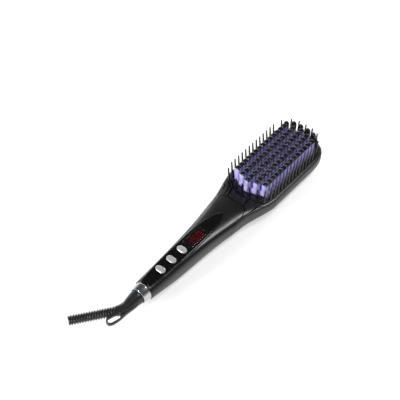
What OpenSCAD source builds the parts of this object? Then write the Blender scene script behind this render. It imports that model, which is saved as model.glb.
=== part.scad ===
// Hair straightener brush lying on its back: heated comb head, handle with three
// buttons and a number display, and a swivelling cord boot.
// X runs along the brush towards the head's tip, Z is up, millimetres.
// The origin is the middle of the flat on the head's back, which it rests on.

/* [Head] */
// Length of the head, from the neck to its tip
head_l = 105; // [100:1:125]
// Full width of the head
head_w = 60; // [56:1:70]
// Height of the deck round the comb above the rest face
deck_h = 22; // [20:0.5:26]
// Height of the seam between the upper and lower halves
seam_h = 17.5; // [16:0.5:18]
// Length over which the head rounds off to its tip
tip_l = 32.5; // [26:0.5:38]
// Wall of the upper and lower halves
wall = 2.2; // [1.8:0.1:2.6]
// Thickness of the deck and of the handle's top
top_wall = 2.8; // [2.4:0.1:3]

/* [Neck and handle] */
// Length of the neck
neck_l = 42; // [38:1:60]
// Width where the neck meets the handle
neck_w = 37.4; // [35:0.2:42]
// How far each side of the neck spreads before the head's shoulders
neck_spread = 6; // [3:0.5:8]
// Length of the handle, from the neck to the collar
handle_l = 111; // [108:1:130]
// Width of the handle at the collar
end_w = 21.4; // [21:0.2:25]
// How much higher the handle's top lies than the deck
handle_rise = 2.4; // [1.6:0.1:3]
// Height of the cord axis above the rest face
axis_h = 15.4; // [15:0.1:16]
// How far the handle's underside lifts at the collar
end_lift = 6; // [5:0.5:6.5]
// Distance from the head's front back to the curved seam of the handle
seam_back = 16.5; // [14:0.5:20]

/* [Comb] */
// Distance between teeth along a column
tooth_pitch = 5.9; // [5.6:0.1:6.1]
// Distance between columns
column_pitch = 8.8; // [8.2:0.1:9]
// Clear length from the last tooth of an outer column to the tip
comb_clear = 15.6; // [15.2:0.2:24]
// Width of a tooth across the brush
tooth_w = 6.4; // [4.4:0.1:6.6]
// Depth of a tooth along the brush
tooth_d = 5.3; // [4.6:0.1:5.4]
// How far a tooth reaches forward of its place in the column
tooth_reach = 4.8; // [4.2:0.1:4.9]
// Height of a tooth above the comb's base
tooth_rise = 10.4; // [8:0.2:13]
// Height of the comb's base above the deck
base_rise = 4.7; // [3:0.1:6]
// Thickness of the comb's base plate
base_t = 3.2; // [2.6:0.1:3.4]
// Ledge of metal left round each cap
cap_ledge = 0.3; // [0.2:0.1:0.8]
// Height of a tooth's cap
cap_h = 1.9; // [1.4:0.1:2.6]

/* [Guard pins] */
// Distance between the guard pins along the sides
pin_pitch = 5.8; // [5.4:0.1:6.4]
// Height of a guard pin above the deck
pin_h = 19.1; // [15:0.5:22]
// Radius of a pin at its foot
pin_r = 1.15; // [0.9:0.05:1.25]
// Radius of a pin at its tip
pin_tip_r = 0.75; // [0.6:0.05:0.9]
// Lean of the pins away from the comb, in degrees
pin_lean = 4; // [0:1:7]
// Distance from the head's outline to the row of pins
pin_inset = 4.9; // [4.7:0.1:5]
// Height of the six solid teeth at the tip above the deck
tip_tooth_h = 17; // [13:0.5:20]

/* [Control panel] */
// Widest half of the panel
panel_hw = 9; // [8.6:0.1:9.6]
// Thickness of the panel
panel_t = 1.5; // [1.2:0.1:1.6]
// Length of an oval button along the handle
button_l = 6.6; // [6:0.1:7.6]
// Length of an oval button across the handle
button_w = 10.8; // [10:0.1:12.2]
// Distance between buttons
button_pitch = 15.6; // [15.2:0.1:16.4]
// How far a button stands above the panel
button_proud = 1; // [0.8:0.1:1.4]
// Travel of a button
travel = 0.5; // [0.3:0.1:0.6]
// Gap between a button and the panel
button_gap = 0.3; // [0.25:0.05:0.4]
// Length of the display window
lens_l = 25; // [24:0.5:26]
// Width of the display window
lens_w = 11.6; // [11:0.1:12]
// Height of a numeral
digit_h = 7; // [6:0.2:8]
// Width of a numeral
digit_w = 4.2; // [3.6:0.1:4.6]
// Distance between numerals
digit_pitch = 7; // [6:0.1:7.2]

/* [Collar and cord boot] */
// Length of the collar ring
collar_l = 8.7; // [8:0.1:12]
// Radius of the collar where it meets the handle
collar_r = 9.9; // [9.5:0.1:10.4]
// Radius of the collar at its mouth
collar_mouth_r = 8.9; // [8.7:0.1:9.6]
// Radius of the boot's barrel
barrel_r = 7.4; // [6.8:0.1:7.5]
// Length of the barrel outside the collar
barrel_l = 13.3; // [12:0.1:16]
// Bend of the boot, in degrees
bend_a = 36; // [33:1:38]
// Radius of the boot's bend
bend_r = 20; // [20:1:23]
// Length of the ribbed tail
tail_l = 46; // [45:1:60]
// Outer radius of the ribs
rib_r = 5.1; // [4.8:0.1:5.4]
// Number of ribs
rib_n = 17; // [12:1:17]
// Distance between ribs
rib_pitch = 2.5; // [2.2:0.1:2.5]
// Radius of the bore for the cord
cord_r = 3; // [2.5:0.1:3.2]
// Thickness of the hanging loop
loop_t = 4.4; // [3.6:0.2:5]

/* [Hidden] */
$fn = 32;

seam_gap = 0.28;   // between the halves, and round what is let into them
fit = 0.15;        // round a fixed piece in its seat
loose = 0.3;       // round a piece that moves

// Stations along the brush
x_tip = head_l / 2;
x_front = -head_l / 2;
x_neck = x_front - neck_l;
x_end = x_neck - handle_l;
x_tipc = x_tip - tip_l;
comb_inset = 12.5;
x_comb = x_front + comb_inset;      // first tooth of the outer columns
outer_teeth = 1 + floor((x_tip - comb_clear - x_comb) / tooth_pitch);
x_seam = x_front - seam_back;
handle_top = deck_h + handle_rise;
skin_n = 20;                        // points across the upper half

// Soft step from 0 to 1
function sm(u) = let (v = min(1, max(0, u))) v * v * (3 - 2 * v);
function mix(a, b, u) = a + (b - a) * u;

// Half width of the body before its tip, and with the tip, less an inset o
function taper_w(x) = let (u = (min(x, x_comb) - x_end) / (x_neck - x_end))
  u < 1 ? mix(end_w, neck_w, 0.56 * u + 0.44 * pow(max(0, u), 4)) / 2
        : neck_w / 2 + neck_spread * (min(x, x_comb) - x_neck) / (x_comb - x_neck);
shoulder_x = x_neck + 14;
function side_w(x) = taper_w(x)
  + (head_w / 2 - taper_w(x_comb)) * sm((x - shoulder_x) / (x_comb - shoulder_x));
function tip_f(x, o) = x <= x_tipc ? 1 :
  pow(max(0, 1 - pow(min(1, (x - x_tipc) / (tip_l - o)), 3)), 1 / 3);
function half_w(x, o = 0) = (side_w(x) - o) * tip_f(x, o);

// Side view: top, bottom, widest line and seam
function top_z(x) = mix(handle_top, deck_h, sm((x - x_neck - 10) / (neck_l - 10)));
rise_x = x_end + 60.5;
function bottom_z(x) = x > rise_x ? -1 : -1 + (end_lift + 1) * pow((rise_x - x) / (rise_x - x_end), 2);
function widest_z(x) = mix(axis_h, seam_h, sm((x - x_end) / (x_neck - x_end)));
seam_bump = 4.4;
seam_drop = 0.72;   // of the depth inside the wall
function seam_z(x) = let (u = sm((x - x_neck + 14) / 22))
  widest_z(x) - seam_drop * (widest_z(x) - bottom_z(x) - wall) * (1 - u) + seam_bump * u * (1 - sm((x - x_front + 9) / 18));
function end_f(x, r, o) = let (s = (x - (x_tip - o - r)) / r)
  s <= 0 ? 1 : pow(max(0, 1 - pow(min(1, s), 2.2)), 1 / 2.2);
function top_n(x) = mix(2.4, 5, sm((x - x_neck) / (x_comb - x_neck)));
function low_n(x) = mix(2.2, 3, sm((x - x_end) / 40));

// A point of the body's skin: a turns from the right side over the top.
// o is 0 on the outside and 1 on the inside of the wall.
function skin(x, a, o) = let (
    s = sin(a), c = cos(a), up = s >= 0,
    n = up ? top_n(x) : low_n(x),
    zw = widest_z(x),
    w = half_w(x, o * wall),
    h = up ? (top_z(x) - o * top_wall - zw) * end_f(x, 5, o * wall)
           : (zw - bottom_z(x) - o * wall) * end_f(x, 17, o * wall),
    y = -w * sign(c) * pow(abs(c), 2 / n),
    z = zw + sign(s) * h * pow(abs(s), 2 / n))
  [x, y, max(z, o * wall)];
// Stations past the start of the tip are drawn in for the inner skin
function drawn(x, o) = x <= x_tipc ? x : x_tipc + (x - x_tipc) * (tip_l - o * wall) / tip_l;
// Angle at which the skin meets the height z, above or below the widest line
function rim_a(x, z, o, lim = 0.75) = let (zw = widest_z(x),
    h = (top_z(x) - o * top_wall - zw) * end_f(x, 5, o * wall),
    g = (zw - bottom_z(x) - o * wall) * end_f(x, 17, o * wall))
  z >= zw || g < 1 ? (h < 0.01 ? 0 : asin(pow(min(o > 0 ? lim : 0.96, max(0, z - zw) / h), top_n(x) / 2)))
                   : -asin(pow((zw - z) / g, low_n(x) / 2));

// The curved seam draws the stations near it back at the sides
side_draw = 12;
function shift(x, u) = -side_draw * pow(min(1, u), 5) * (1 - sm(abs(x - x_seam) / 26));

// Upper ring: outer skin from right to left, then inner skin back
function row(x0, x, a0, a, o) = skin(x + shift(x0, pow(abs(cos(a)) / cos(a0), 2 / top_n(x0))), a, o);
function upper_ring(x0) = let (
    xs = x0 + shift(x0, 1), xd = drawn(x0, 1),
    z0 = seam_z(xs), ao = rim_a(xs, z0, 0), ai = rim_a(xs, z0, 1))
  concat([for (j = [0:skin_n]) row(x0, x0, ao, mix(ao, 180 - ao, j / skin_n), 0)],
    [for (j = [skin_n:-1:0]) row(x0, xd, ai, mix(ai, 180 - ai, j / skin_n), 1)]);
// Lower ring: from the left seam under the body to the right seam
low_n_pts = 24;
function lower_ring(x0) = let (
    xs = x0 + shift(x0, 1), xd = drawn(x0, 1) + shift(x0, 1),
    z0 = seam_z(xs) - seam_gap, ao = rim_a(xs, z0, 0, 0.67), ai = rim_a(xs, z0, 1, 0.67))
  concat(
    [for (j = [0:low_n_pts]) skin(xs, mix(180 - ao, 360 + ao, j / low_n_pts), 0)],
    [for (j = [low_n_pts:-1:0]) skin(xd, mix(180 - ai, 360 + ai, j / low_n_pts), 1)]);

// Closed surface through rings of k points; apex, if given, ends it in two points
module skin_of(rings, apex = []) {
  k = len(rings[0]); m = len(rings); h = k / 2;
  pts = concat([for (r = rings) for (p = r) p], apex);
  last = (m - 1) * k; ao = m * k; ai = ao + 1;
  walls = [for (i = [0:m - 2]) for (j = [0:k - 1])
    let (a = i * k + j, b = i * k + (j + 1) % k, c = b + k, d = a + k) each [[a, b, c], [a, c, d]]];
  start = [for (j = [0:h - 2]) each [[j + 1, j, k - 1 - j], [j + 1, k - 1 - j, k - 2 - j]]];
  end = len(apex) == 0
    ? [for (j = [0:h - 2]) each [[last + j, last + j + 1, last + k - 1 - j],
        [last + j + 1, last + k - 2 - j, last + k - 1 - j]]]
    : concat([for (j = [0:h - 2]) [last + j, last + j + 1, ao]],
        [for (j = [h:k - 2]) [last + j, last + j + 1, ai]],
        [[last + h - 1, last + h, ai], [last + h - 1, ai, ao],
         [last + k - 1, last, ao], [last + k - 1, ao, ai]]);
  polyhedron(points = pts, faces = concat(walls, start, end));
}

handle_steps = 8;
neck_steps = 9;
tip_steps = [0, 7, 13, 18, 22, 25, 27.2, 29, 30.4, 31.4, 32.1];
function tip_x(i) = x_tipc + tip_steps[i] / 32.5 * tip_l;
handle_x = concat([for (i = [0:handle_steps]) mix(x_end, x_neck - 12, i / handle_steps)],
  [for (i = [1:neck_steps]) mix(x_neck - 12, x_seam, i / neck_steps)]);
head_x = concat([for (i = [0:neck_steps]) mix(x_seam, x_comb, i / neck_steps)],
  [for (i = [1:2]) mix(x_comb, x_tipc, i / 3)], [for (i = [0:len(tip_steps) - 1]) tip_x(i)]);
function apex(o) = [x_tip - o * wall, 0, widest_z(x_tip)];

// Plan outline of the head, drawn in by o, from the front station on
function head_plan(x0, o) = let (xs = concat([x0], [for (x = head_x) if (x > x0 + 1) drawn_by(x, o)]))
  concat([for (x = xs) [x, half_w(x, o)]], [[x_tip - o, 0]],
    [for (i = [len(xs) - 1:-1:0]) [xs[i], -half_w(xs[i], o)]]);
function drawn_by(x, o) = x <= x_tipc ? x : x_tipc + (x - x_tipc) * (tip_l - o) / tip_l;

// Comb layout
columns = [for (c = [-2:2]) c * column_pitch];
function col_teeth(c) = outer_teeth + 2 - abs(c);
function tooth_x(c, i) = x_comb + (i - (2 - abs(c)) / 2) * tooth_pitch;
tooth_back = tooth_d - tooth_reach;
comb_mid = x_comb + ((outer_teeth - 1) * tooth_pitch + tooth_back - tooth_reach) / 2;
base_edge = 0.15;                   // of the base past the outermost teeth
comb_hw = 2 * column_pitch + tooth_w / 2 + base_edge;
base_top = deck_h + base_rise;
tooth_top = base_top + tooth_rise;
carrier_top = deck_h - top_wall;
carrier_t = 2.8;

module each_tooth() {
  for (c = [-2:2]) for (i = [0:col_teeth(c) - 1]) translate([tooth_x(c, i), c * column_pitch]) children();
}
// A tooth is flat across the front and fully round at the back
tooth_mid = (tooth_back - tooth_reach) / 2;
module tooth_plan(in = 0) {
  r = tooth_w / 2 - in; front = in - tooth_reach; mid = tooth_back - tooth_w / 2;
  translate([front, -r]) square([max(0.4, mid - front), 2 * r]);
  intersection() {
    translate([front, -r]) square([tooth_back - front, 2 * r]);
    translate([mid, 0]) circle(r);
  }
}
// Half of the comb base's outline: the front steps out beside the teeth of each column
function base_half(o, corner) = let (f = x_comb - tooth_reach - base_edge - o, p = tooth_pitch / 2,
    c = column_pitch, s = tooth_w / 2 + base_edge + 0.8 * o, y = comb_hw + o)
  [[f - 2 * p, s], [f - p, s + 0.3], [f - p, c + s], [f, c + s + 0.3],
   [f, y - corner], [f + 1.2 * corner, y]];
function flip_x(l) = [for (i = [len(l) - 1:-1:0]) [2 * comb_mid - l[i][0], l[i][1]]];
function flip_y(l) = [for (i = [len(l) - 1:-1:0]) [l[i][0], -l[i][1]]];
function base_plan(o, far) = let (a = concat(base_half(o, 1), flip_x(base_half(far, 2.4)))) concat(a, flip_y(a));

// Guard pins: two side rows, the front arc and the tip arc
gutter = 2.4;
ring_inset = 3.1;
front_curve = 0.0129;
ring_front = x_comb - 19.5;
side_pins = floor((x_tipc + 12.6 - x_comb + pin_pitch / 2) / pin_pitch);
function arc_x(y, o) = x_tipc + (tip_l - o) * pow(1 - pow(abs(y) / (head_w / 2 - o), 3), 1 / 3);
front_y = [0, 8.2, 16.2, 22.6];
tip_y = [0, 8.2, 16, 22.5];
tip_pin_in = 0.7;
pin_seats = concat(
  [for (i = [0:side_pins]) for (s = [-1, 1])
    let (x = x_comb + (i - 0.5) * pin_pitch) [x, s * (side_w(x) - pin_inset), s * 90]],
  [for (y = front_y) for (s = y == 0 ? [1] : [-1, 1])
    [ring_front + 2.5 + front_curve * y * y, s * y, 180 - s * y * 2.6]],
  [for (y = tip_y) for (s = y == 0 ? [1] : [-1, 1]) [arc_x(y, pin_inset + tip_pin_in), s * y, s * y * 2.2]]);
tip_tooth_seats = [[arc_x(4.5, 6.9), 4.5, 0], [arc_x(12.7, 6.7), 12.7, 18],
  [arc_x(18.9, 7.3) + 0.6, 18.9, 38]];

// Panel outline: widest near the display, a point at the neck
panel_mid = x_end + 68.5;
panel_tip = x_neck + 4;
panel_end = x_end + 2.4;
panel_end_hw = 5.6;
function panel_y(x, o) = x > panel_mid
  ? (panel_hw + o) * pow(max(0, 1 - pow((x - panel_mid) / (panel_tip + o - panel_mid), 2.2)), 0.5)
  : panel_hw + o - (panel_hw - panel_end_hw) * pow((panel_mid - x) / (panel_mid - panel_end), 2.5);
function panel_plan(o) = let (
    us = [0, 0.14, 0.28, 0.42, 0.55, 0.67, 0.77, 0.85, 0.91, 0.96, 0.99],
    xs = concat([for (i = [0:9]) mix(panel_end - o, panel_mid, i / 10)],
      [for (u = us) mix(panel_mid, panel_tip + o, u)]))
  concat([for (x = xs) [x, panel_y(x, o)]], [[panel_tip + o, 0]],
    [for (i = [len(xs) - 1:-1:0]) [xs[i], -panel_y(xs[i], o)]]);
panel_top = handle_top + 0.1;
panel_floor = panel_top - panel_t;
top_under = handle_top - top_wall;

button_x = [for (i = [0:2]) x_end + 23.8 + i * button_pitch];
lens_x = x_end + 74.5;
board_z = 12.5;
board_t = 1.6;
switch_h = 3.5;
plunger_top = board_z + switch_h + 1.5;
plunger_low = board_z + 2;
plunger_r = 1.6;
flange_rim = 2.2;

module slab(z0, z1) { translate([0, 0, z0]) linear_extrude(z1 - z0) children(); }
module post(x, y, z0, z1, r) { translate([x, y, z0]) cylinder(h = z1 - z0, r = r); }
module rod(x0, x1, y, z, r) { translate([x0, y, z]) rotate([0, 90, 0]) cylinder(h = x1 - x0, r = r); }
module oval(l, w) { r = min(l, w) / 2; s = (max(l, w) - 2 * r) / 2;
  square(l < w ? [l, 2 * s] : [2 * s, w], center = true);
  for (k = [-1, 1]) translate(l < w ? [0, k * s] : [k * s, 0]) circle(r); }
module soft_box(l, w, r) {
  square([l - 2 * r, w], center = true); square([l, w - 2 * r], center = true);
  for (a = [-1, 1]) for (b = [-1, 1]) translate([a * (l / 2 - r), b * (w / 2 - r)]) circle(r);
}

// Screws from below: into the carrier and into the handle
boss_split = 8.6;
boss_r = 2.2;
head_screws = [for (x = [x_comb + 8, x_tip - 26]) for (y = [-15.5, 15.5]) [x, y]];
handle_screws = [[button_x[1] + button_pitch / 2, 0], [x_neck + 12.5, 0]];
screw_r = 1.25;
screw_head_r = 2.75;
screw_seat = 3.2;

module handle_shell() color("#1b1b1d") {
  difference() {
    union() {
      skin_of([for (x = handle_x) upper_ring(x)]);
      for (p = handle_screws) post(p[0], p[1], boss_split, top_under + 0.6, boss_r);
    }
    slab(panel_floor, handle_top + 5) polygon(panel_plan(fit));
    for (x = button_x) translate([x, 0]) {
      slab(top_under - 2, handle_top) oval(button_l + 2 * button_gap + 0.4, button_w + 2 * button_gap + 0.4);
      slab(top_under - 4, top_under)
        oval(button_l + flange_rim + 2 * loose, button_w + flange_rim + 2 * loose);
    }
    translate([lens_x, 0]) slab(top_under - 2, handle_top) square([lens_l - 3, lens_w - 1.4], center = true);
    for (p = handle_screws) post(p[0], p[1], boss_split - 1, top_under - 3, screw_r + 0.05);
    rod(x_end - 1, collar_x + boot_in + disc_t + loose, 0, axis_h, disc_r + fit);
  }
}

slot_w = 1.1;
// Ends of each slot: two on the left, one on the right, all leaning the same way
slot_ends = [[[x_seam + 1.3, 13.6], [x_seam + 11.8, 17.4]], [[x_seam + 1.4, 10.2], [x_seam + 11.4, 13.8]],
  [[x_seam + 0.9, -10.8], [x_seam + 9, -8.2]]];
module slots(w) {
  for (e = slot_ends) hull() {
    translate(e[0]) circle(w / 2);
    translate(e[1]) circle(w / 2);
  }
}
function ring_plan(o) = let (y0 = side_w(ring_front + 8) - o - 2.2,
    f = [for (k = [-6:6]) let (y = y0 * k / 6) [ring_front - (ring_inset - o) + front_curve * y * y, y]],
    xs = concat([for (x = head_x) if (x > f[0][0] + 2) drawn_by(x, o)]))
  concat(f, [for (x = xs) [x, half_w(x, o)]], [[x_tip - o, 0]],
    [for (i = [len(xs) - 1:-1:0]) [xs[i], -half_w(xs[i], o)]]);
module head_frame() color("#232325") {
  difference() {
    skin_of([for (x = head_x) upper_ring(x + (x == x_seam ? 0.2 : 0))], [apex(0), apex(1)]);
    slab(carrier_top - 4, deck_h + 6) polygon(ring_plan(ring_inset - fit));
    slab(carrier_top - 4, handle_top + 3) slots(slot_w);
  }
}

module bottom_shell() color("#3a3a3c") {
  difference() {
    union() {
      skin_of([for (x = concat(handle_x, [for (i = [1:len(head_x) - 1]) head_x[i]])) lower_ring(x)],
        [apex(0) - [0, 0, seam_gap], apex(1) - [0, 0, seam_gap]]);
      for (p = concat(head_screws, handle_screws)) post(p[0], p[1], 1.6, boss_split, 4.4);
      for (p = board_posts) post(p[0], p[1], bottom_z(p[0]) + 1.6, board_z - board_t, 2.5);
      translate([socket_x, 0]) slab(bottom_z(socket_x) + 1.8, socket_z) square([6, 9], center = true);
    }
    for (p = concat(head_screws, handle_screws)) {
      post(p[0], p[1], -2, screw_seat, screw_head_r + 0.3);
      post(p[0], p[1], -2, boss_split + 1, screw_r + 0.35);
    }
    for (p = board_posts) post(p[0], p[1], board_z - 6, board_z, 1.05);
  }
}

module pin() {
  h = pin_h - 0.2; r = pin_tip_r;
  rotate_extrude($fn = 24) polygon([[0, -0.4], [pin_r + 0.3, -0.4], [pin_r + 0.3, 0.5], [pin_r, 0.9],
    [r, h - r], [r * 0.7, h - r * 0.3], [r * 0.25, h], [0, h]]);
}
module pin_ring() color("#17171a") {
  ring_top = deck_h - 0.2;
  difference() {
    slab(carrier_top, ring_top) polygon(ring_plan(ring_inset));
    slab(carrier_top - 1, ring_top + 1) polygon(base_plan(gutter, 0.5));
  }
  for (p = pin_seats) translate([p[0], p[1], ring_top]) rotate([0, 0, p[2]]) rotate([0, pin_lean, 0]) pin();
  for (p = tip_tooth_seats) for (s = [-1, 1])
    translate([p[0], s * p[1], ring_top - 0.5]) rotate([0, 0, s * p[2]]) intersection() {
      linear_extrude(tip_tooth_h + 0.7) soft_box(3.2, 5.8, 1.2);
      translate([0, 0, tip_tooth_h + 0.7 - 3]) {
        rotate([0, 90, 0]) cylinder(h = 8, r = 3, center = true);
        translate([-4, -4, -tip_tooth_h]) cube([8, 8, tip_tooth_h]);
      }
    }
}

module heating_comb() color("#6a5fb0") {
  difference() {
    slab(carrier_top, base_top) polygon(base_plan(0, 0));
    slab(carrier_top - 1, base_top - base_t) polygon(base_plan(-1.8, -1.8));
  }
  slab(base_top - 0.5, tooth_top) each_tooth() tooth_plan();
}
module cap_form() {
  t = tooth_top + cap_h;
  intersection() {
    slab(tooth_top, t) tooth_plan(cap_ledge);
    translate([tooth_mid, 0, t - 8]) rotate([90, 0, 0]) cylinder(h = 9, r = 8, center = true);
    translate([0, 0, t - 10]) rotate([0, 90, 0]) cylinder(h = 12, r = 10, center = true);
  }
}
module tooth_caps() color("#141410") each_tooth() cap_form();

// Tray under the comb, with bosses for the screws and holes for the leads
lead_y = 4;
module comb_carrier() color("#4a4640") {
  difference() {
    union() {
      slab(carrier_top - carrier_t, carrier_top) polygon(ring_plan(ring_inset + 0.1));
      for (p = head_screws) post(p[0], p[1], boss_split, carrier_top - carrier_t + 0.5, 3.4);
    }
    for (p = head_screws) post(p[0], p[1], boss_split - 1, carrier_top - 2, screw_r + 0.05);
    for (s = [-1, 1]) post(heater_x0 + 2, s * lead_y, carrier_top - 5, carrier_top + 1, 1.5);
  }
}

heater_top = base_top - base_t;
heater_t = 1.6;
heater_x0 = x_comb + 5;
heater_end = 11.4;
heater_l = ((outer_teeth - 1) * tooth_pitch - heater_end) / 2;
heater_w = 18;
mica_t = 0.5;
clamp_t = 0.8;
module ceramic_heaters() color("#e9e6dd")
  for (k = [0, 1]) translate([heater_x0 + k * (heater_l + 2), -heater_w / 2, heater_top - heater_t])
    cube([heater_l, heater_w, heater_t]);
module mica_sheet() color("#b9a57a")
  translate([heater_x0 + 4, -heater_w / 2 - 1, heater_top - heater_t - mica_t])
    cube([2 * heater_l - 2, heater_w + 2, mica_t]);
module heater_clamp() color("#9a9c9e") {
  z = heater_top - heater_t - mica_t;
  translate([heater_x0 + 5, -heater_w / 2, z - clamp_t]) cube([2 * heater_l - 4, heater_w, clamp_t]);
  for (k = [0.15, 0.5, 0.85])
    post(heater_x0 + 5 + k * (2 * heater_l - 4), 0, carrier_top, z - clamp_t + 0.3, 3);
}
heater_x1 = heater_x0 + 2 * heater_l + 2;
module thermistor() color("#2f5d3a") rod(heater_x1 + 0.6, heater_x1 + 5.6, 0, heater_top - 1.05, 1);
module thermal_fuse() color("#c9c9c4")
  rod(comb_mid - 5, comb_mid + 5, heater_w / 2 + 4.2, heater_top - 2.05, 2);

module control_panel() color("#101012") {
  difference() {
    slab(panel_floor, panel_top) polygon(panel_plan(0));
    for (x = button_x) translate([x, 0]) slab(panel_floor - 1, panel_top + 1)
      oval(button_l + 2 * button_gap, button_w + 2 * button_gap);
    translate([lens_x, 0]) slab(panel_floor - 1, panel_top + 1)
      soft_box(lens_l + 2 * 0.1, lens_w + 2 * 0.1, 1.2);
  }
}
module display_lens() color("#3a1a1c") translate([lens_x, 0]) slab(panel_floor, panel_top - 0.05)
  soft_box(lens_l, lens_w, 1.1);

// Seven-segment numerals, read along the handle; each list holds the lit bars
digit_z = panel_floor - 1.6;
bar = 0.9;
lit = [[1, 2], [0, 2, 3, 5, 6], [0, 1, 2, 3, 4, 5]];
module bars(on) {
  w = digit_w / 2; h = digit_h / 2;
  for (k = on) {
    p = [[0, h], [w, h / 2], [w, -h / 2], [0, -h], [-w, -h / 2], [-w, h / 2], [0, 0]][k];
    s = k == 0 || k == 3 || k == 6 ? [digit_w - bar, bar] : [bar, digit_h / 2 - bar * 0.4];
    translate(p) square(s, center = true);
  }
}
module display_digits() color("#d01020")
  for (i = [0:2]) translate([lens_x + (i - 1) * digit_pitch, 0]) slab(digit_z, digit_z + 0.3) bars(lit[i]);
module display_module() color("#202022") {
  translate([lens_x, 0]) slab(board_z + 2.3, digit_z) square([lens_l - 3.6, lens_w - 2], center = true);
  for (i = [0:5]) for (s = [-1, 1]) post(lens_x - 9 + i * 3.6, s * 4, board_z, board_z + 2.6, 0.3);
}

board_x0 = x_end + 15.5;
board_x1 = x_neck + 6;
board_posts = [[x_end + 17.8, 0], [x_neck + 2.5, 0]];
board_w = 15.4;
module main_board() color("#1f5a36") {
  difference() {
    slab(board_z - board_t, board_z)
      translate([board_x0, -board_w / 2]) square([board_x1 - board_x0, board_w]);
    post(handle_screws[0][0], 0, 5, 20, 3);
    for (p = board_posts) post(p[0], p[1], 5, 20, 1.3);
  }
}
module board_screws() color("#b8b8b8") for (p = board_posts) {
  post(p[0], p[1], board_z - 5, board_z + 0.2, 1);
  post(p[0], p[1], board_z, board_z + 1.3, 2);
}
under = board_z - board_t;
module power_capacitor() color("#3d4f8a") post(x_neck - 15.5, 0, under - 7.6, under, 4);
module relay() color("#d8d4c8") slab(board_z, top_under - 2.3)
  translate([x_neck - 6.5, 0]) square([9, 13], center = true);
module tact_switches() color("#2b2b2b") for (x = button_x) difference() {
  slab(board_z, board_z + switch_h) translate([x, 0]) square([6, 6], center = true);
  post(x, 0, plunger_low - travel - 0.5, board_z + 6, plunger_r + loose);
}
module plunger(i) color("#8a6a2c") post(button_x[i], 0, plunger_low, plunger_top, plunger_r);
module plunger_power() plunger(0);
module plunger_down() plunger(1);
module plunger_up() plunger(2);
// An oval cap with a flange under the handle's top and a stem to its switch
module push_button(i) color("#d9d9d7") translate([button_x[i], 0]) {
  flange = top_under - 0.1;
  intersection() {
    slab(flange - 0.5, panel_top + button_proud) oval(button_l, button_w);
    translate([0, 0, panel_top + button_proud - 14]) rotate([90, 0, 0])
      cylinder(h = 20, r = 14, center = true, $fn = 64);
  }
  slab(flange - 1.1, flange) oval(button_l + flange_rim, button_w + flange_rim);
  post(0, 0, plunger_top, flange - 1, 1.5);
}
module button_power() push_button(0);
module button_down() push_button(1);
module button_up() push_button(2);

ion_x = x_front - 13.5;
ion_w = 18;
module ion_generator() color("#2d2d33")
  slab(wall + 0.3, wall + 8.3) translate([ion_x, 0]) square([20, ion_w], center = true);
module ion_needles() color("#c0c0c4") for (k = [[1, 0.5], [2, 0.25]]) {
  p = mix(slot_ends[k[0]][0], slot_ends[k[0]][1], k[1]); s = sign(p[1]); z = wall + 6.5;
  translate([p[0], s * ion_w / 2, z]) rotate([-s * 90, 0, 0]) cylinder(h = abs(p[1]) - ion_w / 2, r = 0.5);
  translate([p[0], p[1], z]) sphere(0.5);
  post(p[0], p[1], z, deck_h - 3.2, 0.5);
}
module heater_leads() color("#b03030") for (s = [-1, 1]) {
  z = board_z + 0.8;
  rod(board_x1 - 4, heater_x0 + 2, s * lead_y, z, 0.8);
  translate([heater_x0 + 2, s * lead_y, z]) sphere(0.8);
  post(heater_x0 + 2, s * lead_y, z, heater_top - heater_t, 0.8);
}
module supply_leads() color("#33415f") for (s = [-1, 1])
  rod(socket_x + socket_l / 2, board_x0 + 5, s * 4.2, board_z + 0.8, 0.8);

// Collar, boot and the contacts between them
socket_x = x_end + 7;
socket_l = 9.2;
socket_z = axis_h - 5.5;
collar_x = x_end - collar_l;
web = 2.5;
journal_r = 4.6;
contact_r = 2.4;
disc_r = 6;
disc_t = 1.7;
mouth = 5.2;
boot_in = mouth + web + 0.5;
module turned(x) { translate([x, 0, axis_h]) rotate([0, 90, 0]) rotate_extrude($fn = 64) children(); }
module collar_ring() color("#c9cdd0") turned(collar_x) difference() {
  polygon([[journal_r + loose, mouth], [barrel_r + loose, mouth], [barrel_r + loose, 0.5],
    [barrel_r + loose + 0.4, 0], [collar_mouth_r - 0.5, 0], [collar_mouth_r, 0.6],
    [collar_r - 0.1, collar_l - 0.4], [collar_r - 0.4, collar_l],
    [6.4, collar_l], [6.4, mouth + web], [journal_r + loose, mouth + web]]);
}
bend_x = collar_x - barrel_l;
loop_c1 = [bend_x - 16.5, -1.4];
loop_c2 = [bend_x - 23.8, 0.6];
loop_in = 2.8;
loop_band = 2.1;
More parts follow.
